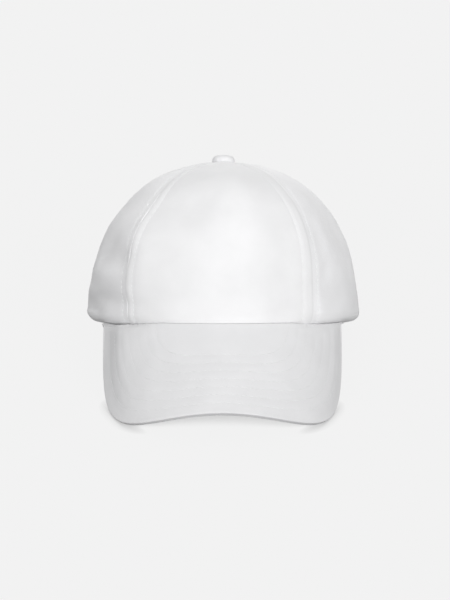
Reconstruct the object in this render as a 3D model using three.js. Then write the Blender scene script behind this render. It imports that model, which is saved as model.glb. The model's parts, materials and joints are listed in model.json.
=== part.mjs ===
// A white cotton five-panel baseball cap, resting by itself on a level surface.
//
// The cap is modelled in its own frame, in millimetres: X to the wearer's left, Y to the back of the head, Z
// up from the plane of the rim at the back. The whole cap is then tilted until the peak's lowest points and the
// back of the rim touch the surface, and moved so that the surface is Z = 0 and it is centred in X and Y.
import * as THREE from "three";

// Crown, measured on the outside of the cloth
const HALF_WIDTH = 90;
const FRONT_REACH = 103.5;
const BACK_REACH = 99;
const CROWN_HEIGHT = 104.5;
const BUTTON_Y = 5;
const CROWN_LEAN = 0.8;
const FRONT_FULLNESS = 2.5;
const SIDE_FULLNESS = 2.28;
const BACK_FULLNESS = 2.35;
const WALL = 1.6;
const GAP = 0.3;

// The front half of the rim climbs at this slope, and the top of the crown falls back at the same slope
const RIM_SLOPE = Math.tan(THREE.MathUtils.degToRad(12));
const RIM_BEND = 18;

// The cloth rolls in towards the rim, most at the sides and beside the ends of the peak, where the rim also
// dips. The skew gives the wearer's right more of it and the left less, by this share at the most.
const ROLL_FRONT = 0.5;
const ROLL_SIDE = 3.9;
const ROLL_HEIGHT = 5;
const RIM_DIP = 1.2;
const RIM_DIP_ROLL = 3.3;
const DIP_ROLL_HEIGHT = 3.2;
const RIM_DIP_ANGLE = 54;
const RIM_DIP_SPREAD = 11;
const RIM_DIP_HEIGHT = 12;
const RIM_SKEW = 0.3;

// Seams, as angles round the crown from the middle of the front. The front ones stand closer near the rim.
const FRONT_SEAM = 42;
const FRONT_SEAM_FOOT_LEFT = 38.2;
const FRONT_SEAM_FOOT_RIGHT = 40.8;
const FRONT_SEAM_FOOT_HEIGHT = 72;
const BACK_SEAM = 106;
const PANEL_TOP_RADIUS = 2.6;

// Soft ridge along each front seam, between the stiff front and the soft side
const RIDGE_LEFT = 0.7;
const RIDGE_RIGHT = 2.2;
const RIDGE_SPREAD = 9;
const RIDGE_ROUND = 1.2;
const RIDGE_FOOT = 12;
const RIDGE_FADE_START = 62;
const RIDGE_FADE_END = 98;

// Opening at the back
const ARCH_HALF_WIDTH = 43;
const ARCH_HEIGHT = 58;

// Peak: a flat outline bent over a roll, then pitched down from the rim
const PEAK_PITCH = THREE.MathUtils.degToRad(36.3);
const PEAK_ROLL_RADIUS = 84.3;
const PEAK_ROLL_EASE = -0.22;
const PEAK_ROLL_SPAN = 80;
const PEAK_HALF_WIDTH = 88.8;
const PEAK_LENGTH = 68.4;
const PEAK_CORNER_START = -35.1;
const PEAK_SQUARENESS = 3.63;
const PEAK_THICKNESS = 2.8;
const PEAK_EDGE_ROUND = 0.8;
const PEAK_END_ANGLE = 61;
const PEAK_SEAT = 1.2;
const PEAK_CLEARANCE = 0.5;

// The peak's sides stand up before they fall to the edge: by this much, between these distances from the edge
const PEAK_SHOULDER_LEFT = { size: 1.8, from: -2, to: 10 };
const PEAK_SHOULDER_RIGHT = { size: 2, from: 3, to: 20 };
const PEAK_SHOULDER_START = 25;
const PEAK_SHOULDER_FULL = 78;
const PEAK_SHOULDER_ROOT = 12;

// Button on the top
const BUTTON_RADIUS = 7.4;
const BUTTON_HEIGHT = 5;
const BUTTON_STEM_RADIUS = 1.9;
const BUTTON_STEM_LENGTH = 2.4;

// Sweatband and the two tabs of the strap
const BAND_HEIGHT = 30;
const BAND_THICKNESS = 1.2;
const BAND_LEAN = 1.8;
const BAND_LEAN_HEIGHT = 14;
const BAND_FOOT = 1;
const STRAP_FOOT = 1.5;
const STRAP_HEIGHT = 25;
const STRAP_THICKNESS = 1.2;
const STRAP_HIDDEN = 14;
const STRAP_OVERLAP = 30;
const STRAP_SEAT = WALL + 2 * GAP;
const STRAP_TIP = 0.2;

// Soft dents and rolls: angle round the crown (negative is the wearer's right), height above the rim,
// half spreads along and up, and depth (negative stands out). They fade out below the height that follows.
const DENTS = [
  [-88.7, 52.5, 13.4, 48.3, 3.5],
  [-69.4, 5, 8.9, 13.1, 3.5],
  [-63.1, 41.4, 8, 8.7, 2.9],
  [-60.8, 33, 13.2, 6.4, -1.7],
  [-69.4, 18.7, 10.7, 6, -2.2],
  [-59.8, 63.1, 16.5, 23.6, -2.5],
  [-59, 51.8, 10.1, 8.4, 2.5],
  [-61.6, 16.6, 9.7, 6, 2.6],
  [-49.8, 40.8, 8.9, 7.3, 2.3],
  [-43.3, 12.1, 11, 5.9, 1.8],
  [-36.7, 37.1, 7, 19.4, -1.5],
  [-28.6, 74.3, 48.3, 16.1, 3.3],
  [54, 40.2, 7, 19.1, 0.8],
  [53.6, 13.6, 9.2, 9.7, 1.9],
  [71.4, 63, 16, 23.6, 3],
  [49.9, 61.8, 7, 7.7, 0.6],
  [87.8, 27.1, 9, 14, 1.5],
  [49.4, 4.7, 15.7, 14.3, -1.9],
  [48.3, 39.2, 5, 22.5, 1],
  [5.8, 67.1, 16.3, 24.2, -1.3],
  [29.9, 41.4, 8.5, 33, 1.3],
  [-13.4, 72.9, 8.3, 14.2, 1.1],
  [8.8, 0.3, 16, 6, 1.3],
  [6, 54.9, 16.2, 38.8, -1.3],
  [-23.7, 76.8, 13.9, 9.2, 0.8],
];
const DENT_FADE = 8;

const rad = THREE.MathUtils.degToRad;
const mix = THREE.MathUtils.lerp;

// Level of the crown at a height above the rim, as an angle from 0 at the rim to 90 degrees at the top
function levelAt(height) {
  return Math.asin(Math.pow(Math.min(height / CROWN_HEIGHT, 1), SIDE_FULLNESS / 2));
}

function heightAt(level) {
  return CROWN_HEIGHT * Math.pow(Math.sin(level), 2 / SIDE_FULLNESS);
}

// Height of the rim over its back half's plane
function rimHeight(y) {
  return (RIM_SLOPE * (Math.hypot(y, RIM_BEND) - y)) / 2;
}

function dentDepth(angle, height) {
  const sum = DENTS.reduce((total, [middle, middleHeight, spread, spreadUp, depth]) => {
    const along = (THREE.MathUtils.radToDeg(angle) - middle) / spread;
    const up = (height - middleHeight) / spreadUp;
    return total + depth * Math.exp(-(along * along + up * up));
  }, 0);
  return sum * THREE.MathUtils.smoothstep(height, 0, DENT_FADE);
}

// Angle of a front seam from the middle at a height, side 1 for the wearer's left and -1 for the right
function seamAngle(side, height) {
  const foot = side > 0 ? FRONT_SEAM_FOOT_LEFT : FRONT_SEAM_FOOT_RIGHT;
  return mix(foot, FRONT_SEAM, THREE.MathUtils.smoothstep(height, 0, FRONT_SEAM_FOOT_HEIGHT));
}

// Height of the ridge along the front seams
function seamRidge(angle, height) {
  const side = Math.sign(angle) || 1;
  const off = Math.abs(THREE.MathUtils.radToDeg(angle)) - seamAngle(side, height);
  const beside = Math.hypot(off, RIDGE_ROUND) - RIDGE_ROUND;
  const size = side > 0 ? RIDGE_LEFT : RIDGE_RIGHT;
  const foot = THREE.MathUtils.smoothstep(height, 0, RIDGE_FOOT);
  const top = 1 - THREE.MathUtils.smoothstep(height, RIDGE_FADE_START, RIDGE_FADE_END);
  return size * Math.exp(-beside / RIDGE_SPREAD) * foot * top;
}

// Point on the smooth outside of the crown, without its dents and ridges
function smoothCrown(angle, level) {
  const height = heightAt(level);
  const share = height / CROWN_HEIGHT;
  const facing = Math.cos(angle);
  const endFullness = facing > 0 ? FRONT_FULLNESS : BACK_FULLNESS;
  const fullness = mix(SIDE_FULLNESS, endFullness, facing * facing);
  const reach = facing > 0 ? FRONT_REACH : BACK_REACH;
  const widthShare = Math.pow(Math.cos(level), 2 / SIDE_FULLNESS);
  const reachShare = Math.pow(1 - Math.pow(share, fullness), 1 / fullness);
  const around = Math.abs(THREE.MathUtils.radToDeg(Math.atan2(Math.sin(angle), facing)));
  const beside = Math.exp(-(((around - RIM_DIP_ANGLE) / RIM_DIP_SPREAD) ** 2));
  const skew = 1 - RIM_SKEW * Math.sin(angle);
  const fullRoll = mix(ROLL_FRONT, ROLL_SIDE, Math.sin(angle) ** 2);
  const roll = fullRoll * Math.max(1 - height / (ROLL_HEIGHT * skew), 0) ** 2;
  const dipRoll = RIM_DIP_ROLL * beside * Math.max(1 - height / DIP_ROLL_HEIGHT, 0) ** 2;
  const inset = skew * (roll + dipRoll);
  const dip = RIM_DIP * skew * beside * Math.max(1 - height / RIM_DIP_HEIGHT, 0) ** 2;
  const x = (HALF_WIDTH * widthShare - inset) * Math.sin(angle) + CROWN_LEAN * share * share;
  const y = -(reach * reachShare - inset) * facing + BUTTON_Y * share * share;
  const top = -RIM_SLOPE * (y - BUTTON_Y);
  return new THREE.Vector3(x, y, height + mix(rimHeight(y), top, share) - dip);
}

// Unit normal of the crown, pointing out
function crownNormal(angle, level) {
  const step = 1e-3;
  const round = smoothCrown(angle + step, level).sub(smoothCrown(angle - step, level));
  const above = Math.min(level + step, Math.PI / 2 - step);
  const below = Math.max(above - 2 * step, 0);
  const up = smoothCrown(angle, above).sub(smoothCrown(angle, below));
  return round.cross(up).normalize();
}

// Point at a depth under the outside of the crown, dents and ridges included
function crownPoint(angle, level, depth) {
  const height = heightAt(level);
  const inward = depth + dentDepth(angle, height) - seamRidge(angle, height);
  return smoothCrown(angle, level).addScaledVector(crownNormal(angle, level), -inward);
}

// Angle round the crown that spans a length at a level
function spanAngle(length, angle, level) {
  const step = 1e-3;
  const speed = smoothCrown(angle + step, level).distanceTo(smoothCrown(angle - step, level)) / (2 * step);
  return length / speed;
}

// Closed body between an upper and a lower grid of points. Where edgeRound is over zero, the edges named in
// roundSides stand out by it half way down.
function slab(name, rows, columns, upper, lower, edgeRound = 0, roundSides = []) {
  const positions = [];
  const add = (point) => positions.push(point.x, point.y, point.z) / 3 - 1;
  const grid = (pointAt) =>
    Array.from({ length: rows }, (_, i) => Array.from({ length: columns }, (_, j) => add(pointAt(i, j))));
  const top = grid(upper);
  const bottom = grid(lower);
  const faces = [];
  for (let i = 0; i + 1 < rows; i++) {
    for (let j = 0; j + 1 < columns; j++) {
      faces.push(top[i][j], top[i][j + 1], top[i + 1][j + 1], top[i][j], top[i + 1][j + 1], top[i + 1][j]);
      faces.push(bottom[i][j], bottom[i + 1][j + 1], bottom[i][j + 1]);
      faces.push(bottom[i][j], bottom[i + 1][j], bottom[i + 1][j + 1]);
    }
  }
  const loop = [];
  for (let j = 0; j + 1 < columns; j++) loop.push({ i: 0, j, side: "start" });
  for (let i = 0; i + 1 < rows; i++) loop.push({ i, j: columns - 1, side: "right" });
  for (let j = columns - 1; j > 0; j--) loop.push({ i: rows - 1, j, side: "end" });
  for (let i = rows - 1; i > 0; i--) loop.push({ i, j: 0, side: "left" });
  const point = (index) => new THREE.Vector3().fromArray(positions, index * 3);
  const middle = loop.map(({ i, j, side }) => {
    const here = point(top[i][j]).add(point(bottom[i][j])).multiplyScalar(0.5);
    const inner = { start: [1, j], end: [rows - 2, j], left: [i, 1], right: [i, columns - 2] }[side];
    const atFrontCorner = i === rows - 1 && (j === 0 || j === columns - 1);
    const [ii, jj] = atFrontCorner ? [rows - 2, j === 0 ? 1 : columns - 2] : inner;
    const inside = point(top[ii][jj]).add(point(bottom[ii][jj])).multiplyScalar(0.5);
    const reach = roundSides.includes(side) ? edgeRound : 0;
    return add(here.addScaledVector(here.clone().sub(inside).normalize(), reach));
  });
  loop.forEach(({ i, j }, n) => {
    const next = loop[(n + 1) % loop.length];
    const middleNext = middle[(n + 1) % loop.length];
    const [a, b, c, d] = [top[i][j], top[next.i][next.j], bottom[next.i][next.j], bottom[i][j]];
    faces.push(a, middle[n], middleNext, a, middleNext, b, middle[n], d, c, middle[n], c, middleNext);
  });
  return closedMesh(name, positions, faces);
}

function closedMesh(name, positions, faces) {
  const point = (index) => new THREE.Vector3().fromArray(positions, index * 3);
  let volume = 0;
  for (let f = 0; f < faces.length; f += 3) {
    volume += point(faces[f]).dot(point(faces[f + 1]).cross(point(faces[f + 2])));
  }
  if (volume < 0) faces.reverse();
  const geometry = new THREE.BufferGeometry();
  geometry.setAttribute("position", new THREE.Float32BufferAttribute(positions, 3));
  geometry.setIndex(faces);
  geometry.computeVertexNormals();
  const mesh = new THREE.Mesh(geometry, cloth);
  mesh.name = name;
  return mesh;
}

const cloth = new THREE.MeshStandardMaterial({ color: 0xe9e9ea, roughness: 0.9, metalness: 0 });

// Heights of a panel's first rows, close together in the rolled rim, and the number of rows above them
const ROLLED_ROWS = [0, 1.4, 3, 5.2, 9];
const UPPER_ROWS = 13;
const ARCH_ROWS = 5;
const TOP_LEVEL = Math.acos(Math.pow(PANEL_TOP_RADIUS / HALF_WIDTH, SIDE_FULLNESS / 2));

function lookUp(xs, ys, x) {
  const k = Math.max(1, Math.min(xs.findIndex((other) => other >= x), xs.length - 1));
  return mix(ys[k - 1], ys[k], (x - xs[k - 1]) / (xs[k] - xs[k - 1]));
}

// Fine line of spots on the crown between two levels
function crownLine(angleAt, fromLevel, toLevel) {
  const steps = 120;
  return Array.from({ length: steps + 1 }, (_, k) => {
    const level = mix(fromLevel, toLevel, k / steps);
    return { angle: angleAt(level), level };
  });
}

// Rows of a panel's edge along a fine line: at the heights given, then an even distance apart up to its end
function edgeRows(line, heights, steps) {
  const run = [0];
  for (let k = 1; k < line.length; k++) {
    const [before, here] = [line[k - 1], line[k]].map(({ angle, level }) => smoothCrown(angle, level));
    run.push(run[k - 1] + before.distanceTo(here));
  }
  const climb = line.map(({ level }) => heightAt(level));
  const first = heights.map((height) => lookUp(climb, run, height));
  const start = first.at(-1) ?? 0;
  const rest = Array.from({ length: steps }, (_, i) => mix(start, run.at(-1), (i + 1) / steps));
  const angles = line.map(({ angle }) => angle);
  return [...first, ...rest].map((spot) => {
    const level = levelAt(lookUp(run, climb, spot));
    return { angle: lookUp(run, angles, spot), level };
  });
}

function seamRows(seam) {
  return edgeRows(crownLine(seam, 0, TOP_LEVEL), ROLLED_ROWS, UPPER_ROWS);
}

// Panel of the crown between two edges of as many rows, with half the gap kept at both
function crownPanel(name, columns, fromRows, toRows) {
  const sheet = (depth) => (i, j) => {
    const [from, to] = [fromRows[i], toRows[i]];
    const start = from.angle + spanAngle(GAP / 2, from.angle, from.level);
    const end = to.angle - spanAngle(GAP / 2, to.angle, to.level);
    const share = j / (columns - 1);
    const height = mix(heightAt(from.level), heightAt(to.level), share);
    return crownPoint(mix(start, end, share), levelAt(height), depth);
  };
  return slab(name, fromRows.length, columns, sheet(0), sheet(WALL));
}

function frontSeam(side) {
  return (level) => side * rad(seamAngle(side, heightAt(level)));
}

function backSeam(side) {
  return () => side * rad(BACK_SEAM);
}

// Angle of the back opening's edge from the middle of the back, zero above the arch
function archAngle(level) {
  const share = Math.min(heightAt(level) / ARCH_HEIGHT, 1);
  const halfWidth = ARCH_HALF_WIDTH * Math.sqrt(1 - share * share);
  return Math.asin(halfWidth / (HALF_WIDTH * Math.pow(Math.cos(level), 2 / SIDE_FULLNESS)));
}

// Inner edge of a back panel: round the arch from the rim to the middle of the back, then up the centre seam
function backEdgeRows(side) {
  const archTop = levelAt(ARCH_HEIGHT);
  const arch = crownLine((level) => side * (Math.PI - archAngle(level)), 0, archTop);
  const centre = crownLine(() => side * Math.PI, archTop, TOP_LEVEL);
  return [...edgeRows(arch, ROLLED_ROWS, ARCH_ROWS), ...edgeRows(centre, [], UPPER_ROWS - ARCH_ROWS)];
}

function frontPanel() {
  return crownPanel("front_panel", 17, seamRows(frontSeam(-1)), seamRows(frontSeam(1)));
}

function sidePanel(side) {
  const edges = [seamRows(frontSeam(side)), seamRows(backSeam(side))];
  const name = side > 0 ? "side_panel_left" : "side_panel_right";
  return crownPanel(name, 14, ...(side > 0 ? edges : edges.reverse()));
}

function backPanel(side) {
  const edges = [seamRows(backSeam(side)), backEdgeRows(side)];
  const name = side > 0 ? "back_panel_left" : "back_panel_right";
  return crownPanel(name, 13, ...(side > 0 ? edges : edges.reverse()));
}

// Band inside the rim, from one side of the opening to the other, clear of the strap's sewn ends. It follows
// the crown's dents and leans in above the rim.
function sweatband() {
  const columns = 61;
  const heights = [BAND_FOOT, 5, 9, BAND_LEAN_HEIGHT, 22, BAND_HEIGHT];
  const end = Math.PI - archAngle(0) - spanAngle(STRAP_HIDDEN, Math.PI / 2, 0) - rad(1);
  const pointAt = (depth) => (i, j) => {
    const angle = mix(-end, end, j / (columns - 1));
    const lean = BAND_LEAN * THREE.MathUtils.smoothstep(heights[i], 0, BAND_LEAN_HEIGHT);
    const inward = WALL + GAP + lean + depth + dentDepth(angle, heights[i]);
    const level = levelAt(heights[i]);
    return smoothCrown(angle, level).addScaledVector(crownNormal(angle, level), -inward);
  };
  return slab("sweatband", heights.length, columns, pointAt(0), pointAt(BAND_THICKNESS));
}

// Tab of the strap: sewn inside its back panel, and lying over or under the other tab past the middle. Its
// end is a half circle, whose tip keeps a small share of the height.
function strapTab(side, overlapDepth) {
  const columns = 15;
  const rows = 6;
  const start = archAngle(0) + spanAngle(STRAP_HIDDEN, Math.PI, 0);
  const end = -spanAngle(STRAP_OVERLAP / 2, Math.PI, 0);
  const endRound = spanAngle(STRAP_HEIGHT / 2, Math.PI, 0);
  const angleAt = (j) => mix(start, end, j / (columns - 1));
  const pointAt = (depth) => (i, j) => {
    const angle = angleAt(j);
    const fromEnd = Math.min((angle - end) / endRound, 1);
    const halfHeight = (STRAP_HEIGHT / 2) * Math.sqrt(Math.max(fromEnd * (2 - fromEnd), STRAP_TIP ** 2));
    const height = STRAP_FOOT + STRAP_HEIGHT / 2 + mix(-halfHeight, halfHeight, i / (rows - 1));
    const joined = THREE.MathUtils.smoothstep(angle, -end, archAngle(0));
    const under = mix(overlapDepth, STRAP_SEAT, joined) + depth;
    return crownPoint(Math.PI - side * angle, levelAt(height), under);
  };
  const name = side > 0 ? "strap_left" : "strap_right";
  return slab(name, rows, columns, pointAt(0), pointAt(STRAP_THICKNESS));
}

// The peak's bend at a distance along the flat outline from its middle line: turn, reach across and drop
function peakBend(across) {
  const steps = 60;
  const bend = { turn: 0, reach: 0, drop: 0 };
  const turnAt = (s) => (s / PEAK_ROLL_RADIUS) * (1 + (PEAK_ROLL_EASE * (s / PEAK_ROLL_SPAN) ** 2) / 3);
  for (let i = 0; i < steps; i++) {
    const turn = turnAt((across * (i + 0.5)) / steps);
    bend.reach += (Math.cos(turn) * across) / steps;
    bend.drop += (Math.sin(turn) * across) / steps;
  }
  bend.turn = turnAt(across);
  return bend;
}

const peakAxis = new THREE.Vector3(0, -Math.cos(PEAK_PITCH), -Math.sin(PEAK_PITCH));
const peakNormal = new THREE.Vector3(0, -Math.sin(PEAK_PITCH), Math.cos(PEAK_PITCH));
const peakRoot = smoothCrown(0, 0).add(new THREE.Vector3(0, 0, PEAK_SEAT));

// Point on the peak's top, from flat coordinates across and along it
function peakTop(across, along) {
  const bend = peakBend(across);
  const point = peakRoot.clone().addScaledVector(peakAxis, along).addScaledVector(peakNormal, -bend.drop);
  point.x += bend.reach;
  return point;
}

// Unit normal of the peak's top
function peakUp(across) {
  const turn = peakBend(across).turn;
  const up = peakNormal.clone().multiplyScalar(Math.cos(turn));
  up.x = Math.sin(turn);
  return up;
}

// Where the peak's top meets the outside of the rim
function peakFoot(angle) {
  const level = levelAt(PEAK_SEAT);
  const outward = crownNormal(angle, level).setZ(0).normalize();
  return smoothCrown(angle, level).addScaledVector(outward, PEAK_CLEARANCE);
}

// Flat coordinates of the peak's inner edge, with the lift that brings it up to the rim there
function peakInnerEdge(angle) {
  const foot = peakFoot(angle);
  let across = foot.x;
  const rounds = 12;
  for (let i = 0; i < rounds; i++) across += foot.x - peakBend(across).reach;
  const drop = peakBend(across).drop;
  const along = (peakRoot.y - foot.y + drop * Math.sin(PEAK_PITCH)) / Math.cos(PEAK_PITCH);
  return { across, along, lift: foot.z - peakTop(across, along).z };
}

// Flat outline: nearly straight sides, then a rounded front, from -90 degrees at one side to 90 at the other
function peakOutline(turn) {
  const across = Math.sign(turn) * PEAK_HALF_WIDTH * Math.pow(Math.abs(Math.sin(turn)), 2 / PEAK_SQUARENESS);
  const forward = (PEAK_LENGTH - PEAK_CORNER_START) * Math.pow(Math.abs(Math.cos(turn)), 2 / PEAK_SQUARENESS);
  return { across, along: PEAK_CORNER_START + forward };
}

// Distance of a flat spot from the outline: the inset of the outline that runs through it
function peakInset(across, along) {
  const forward = Math.max(along - PEAK_CORNER_START, 0);
  const rounds = 30;
  let [low, high] = [-3, 80];
  for (let i = 0; i < rounds; i++) {
    const inset = (low + high) / 2;
    const sideways = (Math.abs(across) / (PEAK_HALF_WIDTH - inset)) ** PEAK_SQUARENESS;
    const ahead = (forward / (PEAK_LENGTH - inset - PEAK_CORNER_START)) ** PEAK_SQUARENESS;
    if (sideways + ahead > 1) high = inset;
    else low = inset;
  }
  return low;
}

// Height of the peak's sides over its plain bend
function peakShoulder(across, along, fromRim) {
  const { size, from, to } = across > 0 ? PEAK_SHOULDER_LEFT : PEAK_SHOULDER_RIGHT;
  const beside = THREE.MathUtils.smoothstep(Math.abs(across), PEAK_SHOULDER_START, PEAK_SHOULDER_FULL);
  const root = THREE.MathUtils.smoothstep(fromRim, 0, PEAK_SHOULDER_ROOT);
  return size * beside * root * THREE.MathUtils.smoothstep(peakInset(across, along), from, to);
}

function peak() {
  const columns = 33;
  const rows = 9;
  const cornerTurn = rad(48);
  const end = rad(PEAK_END_ANGLE);
  const between = (a, b, share) => ({
    across: mix(a.across, b.across, share),
    along: mix(a.along, b.along, share),
  });
  // Side edge from its end at the rim out to the front corner
  const sideEdge = (side, share) =>
    share > 0 ? peakOutline(side * mix(Math.PI / 2, cornerTurn, share)) : peakInnerEdge(side * end);
  const flat = (i, j) => {
    const u = mix(-1, 1, j / (columns - 1));
    const v = i / (rows - 1);
    const inner = peakInnerEdge(u * end);
    const outer = peakOutline(u * cornerTurn);
    const straight = between(inner, outer, v);
    const side = Math.sign(u) || 1;
    const edge = sideEdge(side, v);
    const edgeStraight = between(sideEdge(side, 0), sideEdge(side, 1), v);
    const pull = Math.abs(u) ** 3;
    const across = straight.across + pull * (edge.across - edgeStraight.across);
    const along = straight.along + pull * (edge.along - edgeStraight.along);
    const shoulder = peakShoulder(across, along, Math.hypot(across - inner.across, along - inner.along));
    return { across, along, lift: inner.lift * (1 - v) ** 2, shoulder };
  };
  // The edge against the rim is upright, and the thickness turns square to the peak away from it
  const sheet = (depth) => (i, j) => {
    const { across, along, lift, shoulder } = flat(i, j);
    const square = 1 - (1 - i / (rows - 1)) ** 3;
    const up = peakUp(across);
    const down = up.clone().multiply(new THREE.Vector3(square, square, 1));
    const point = peakTop(across, along).addScaledVector(down, -depth).addScaledVector(up, shoulder);
    point.z += lift;
    return point;
  };
  const roundSides = ["left", "right", "end"];
  return slab("peak", rows, columns, sheet(0), sheet(PEAK_THICKNESS), PEAK_EDGE_ROUND, roundSides);
}

// Covered button: a flat dome of revolution on the top of the crown, with a stem through the cloth
function button() {
  const profile = [new THREE.Vector2(0, -BUTTON_STEM_LENGTH)];
  profile.push(new THREE.Vector2(BUTTON_STEM_RADIUS, -BUTTON_STEM_LENGTH));
  profile.push(new THREE.Vector2(BUTTON_STEM_RADIUS, 2 * GAP));
  const steps = 7;
  for (let i = 0; i <= steps; i++) {
    const turn = (Math.PI / 2) * (i / steps);
    const radius = BUTTON_RADIUS * Math.pow(Math.cos(turn), 0.7);
    const height = 2 * GAP + (BUTTON_HEIGHT - 2 * GAP) * Math.pow(Math.sin(turn), 0.8);
    profile.push(new THREE.Vector2(i === steps ? 0 : radius, height));
  }
  const geometry = new THREE.LatheGeometry(profile, 24);
  const mesh = new THREE.Mesh(geometry, cloth);
  mesh.name = "button";
  const level = Math.PI / 2 - 2e-3;
  const top = smoothCrown(0, level).add(smoothCrown(Math.PI, level)).multiplyScalar(0.5);
  const up = new THREE.Vector3(0, RIM_SLOPE, 1).normalize();
  mesh.position.copy(top);
  mesh.quaternion.setFromUnitVectors(new THREE.Vector3(0, 1, 0), up);
  return mesh;
}

// Tilt at which the lowest points in front of and behind the middle are level
function restingTilt(cap) {
  const points = [];
  cap.updateMatrixWorld(true);
  cap.traverse((mesh) => {
    if (!mesh.isMesh) return;
    const vertices = mesh.geometry.getAttribute("position");
    for (let i = 0; i < vertices.count; i++) {
      points.push(new THREE.Vector3().fromBufferAttribute(vertices, i).applyMatrix4(mesh.matrixWorld));
    }
  });
  const lowest = (tilt, front) =>
    points.reduce((low, p) => {
      const height = p.z * Math.cos(tilt) - p.y * Math.sin(tilt);
      return p.y < 0 === front ? Math.min(low, height) : low;
    }, Infinity);
  let [low, high] = [0, rad(30)];
  for (let i = 0; i < 50; i++) {
    const tilt = (low + high) / 2;
    if (lowest(tilt, true) < lowest(tilt, false)) low = tilt;
    else high = tilt;
  }
  return (low + high) / 2;
}

const cap = new THREE.Group();
cap.add(frontPanel());
for (const side of [-1, 1]) cap.add(sidePanel(side), backPanel(side));
cap.add(button(), peak(), sweatband());
cap.add(strapTab(1, STRAP_SEAT), strapTab(-1, STRAP_SEAT + STRAP_THICKNESS + GAP));
cap.rotation.x = -restingTilt(cap);

const resting = new THREE.Group();
resting.add(cap);
const box = new THREE.Box3().setFromObject(resting, true);
const centre = box.getCenter(new THREE.Vector3());
resting.position.set(-centre.x, -centre.y, -box.min.z);

export default resting;
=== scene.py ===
"""Looks of a white cotton five-panel baseball cap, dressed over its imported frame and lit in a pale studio."""
import json
import math

import bpy
import numpy as np
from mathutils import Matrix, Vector


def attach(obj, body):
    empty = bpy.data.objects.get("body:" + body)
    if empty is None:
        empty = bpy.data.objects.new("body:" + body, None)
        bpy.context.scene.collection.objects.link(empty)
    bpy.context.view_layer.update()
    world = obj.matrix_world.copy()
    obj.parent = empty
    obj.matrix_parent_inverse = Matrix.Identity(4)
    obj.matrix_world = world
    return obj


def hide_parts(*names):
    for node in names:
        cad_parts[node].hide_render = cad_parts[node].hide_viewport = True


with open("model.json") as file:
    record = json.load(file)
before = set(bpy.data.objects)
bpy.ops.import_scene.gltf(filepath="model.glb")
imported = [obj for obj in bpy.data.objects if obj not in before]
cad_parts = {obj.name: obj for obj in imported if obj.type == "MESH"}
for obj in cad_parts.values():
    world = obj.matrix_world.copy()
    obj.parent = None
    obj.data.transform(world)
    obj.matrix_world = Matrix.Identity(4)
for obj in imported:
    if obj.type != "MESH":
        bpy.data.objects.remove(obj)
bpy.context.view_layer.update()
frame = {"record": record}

MM = 0.001

# Crown, in millimetres and degrees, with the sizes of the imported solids
HALF_WIDTH = 90.0
FRONT_REACH = 103.5
BACK_REACH = 99.0
CROWN_HEIGHT = 104.5
BUTTON_Y = 5.0
CROWN_LEAN = 0.8
FRONT_FULLNESS = 2.5
SIDE_FULLNESS = 2.28
BACK_FULLNESS = 2.35
WALL = 1.6
RIM_SLOPE = math.tan(math.radians(12))
RIM_BEND = 18.0
ROLL_FRONT = 0.5
ROLL_SIDE = 3.9
ROLL_HEIGHT = 5.0
RIM_DIP = 1.2
RIM_DIP_ROLL = 3.3
DIP_ROLL_HEIGHT = 3.2
RIM_SKEW = 0.3
RIM_DIP_ANGLE = 54.0
RIM_DIP_SPREAD = 11.0
RIM_DIP_HEIGHT = 12.0

# Seams, as angles round the crown from the middle of the front, and the opening at the back
FRONT_SEAM = 42.0
SEAM_FOOT_LEFT = 38.2
SEAM_FOOT_RIGHT = 40.8
FRONT_SEAM_BEND = 72.0
BACK_SEAM = 106.0
PANEL_TOP_RADIUS = 2.6
RIDGE_LEFT = 0.7
RIDGE_RIGHT = 2.2
RIDGE_SPREAD = 9.0
RIDGE_ROUND = 1.2
RIDGE_FOOT = 12.0
RIDGE_FADE = (62.0, 98.0)
ARCH_HALF_WIDTH = 43.0
ARCH_HEIGHT = 58.0

# Peak: lengths in millimetres, angles, and the points of its grid
PEAK_PITCH = math.radians(36.3)
PEAK_ROLL_RADIUS = 84.3
PEAK_ROLL_EASE = -0.22
PEAK_ROLL_SPAN = 80.0
PEAK_HALF_WIDTH = 88.8
PEAK_LENGTH = 68.4
PEAK_CORNER_START = -35.1
PEAK_SQUARENESS = 3.63
PEAK_THICKNESS = 2.8
PEAK_EDGE_ROUND = 0.8
PEAK_END_ANGLE = 61.0
PEAK_SEAT = 1.2
PEAK_CLEAR_MIDDLE = 0.04
PEAK_CLEAR_END = 1.3
PEAK_CLEAR_ANGLES = (38.0, 54.0)
PEAK_CLEAR_SKEW = 4.0
PEAK_TUCK = 2.0
PEAK_TUCK_WIDTH = 5.5
SHOULDER_LEFT = (1.8, -2.0, 10.0)
SHOULDER_RIGHT = (2.0, 3.0, 20.0)
SHOULDER_ACROSS = (25.0, 78.0)
SHOULDER_ROOT = 12.0
PEAK_TUCK_ANGLES = (26.0, 46.0)
PEAK_CORNER = math.radians(48)
PEAK_EDGE_GROOVE = 0.15
PEAK_COLUMNS = 171
PEAK_LINES = 79

# Button, sweatband and strap: lengths in millimetres, and shares, powers and counts
BUTTON_RADIUS = 7.4
BUTTON_HEIGHT = 5.0
BUTTON_RISE = 0.6
BUTTON_FOOT = -1.2
BUTTON_LOWEST = -0.32
BUTTON_FOLDS = 17
BUTTON_FOLD_DRIFT = 5
BUTTON_FOLD_DEPTH = 0.012
BUTTON_FOLD_REACH = 0.5
BUTTON_SIDE_POWER = 0.7
BUTTON_TOP_POWER = 0.8
BUTTON_SIDES = 72
BUTTON_STEPS = 22
BAND_HEIGHT = 30.0
BAND_THICKNESS = 1.2
BAND_LEAN = 1.8
BAND_LEAN_HEIGHT = 14.0
BAND_FOOT = 0.8
BAND_GAP = 0.3
BAND_ROWS = (26.0, 4.0)
BAND_ROW_RISE = 0.18
BAND_ROW_SPREAD = 0.7
BAND_WAVE = 0.25
BAND_WAVE_SIZE = 22.0
BAND_WAVE_FOOT = 8.0
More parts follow.
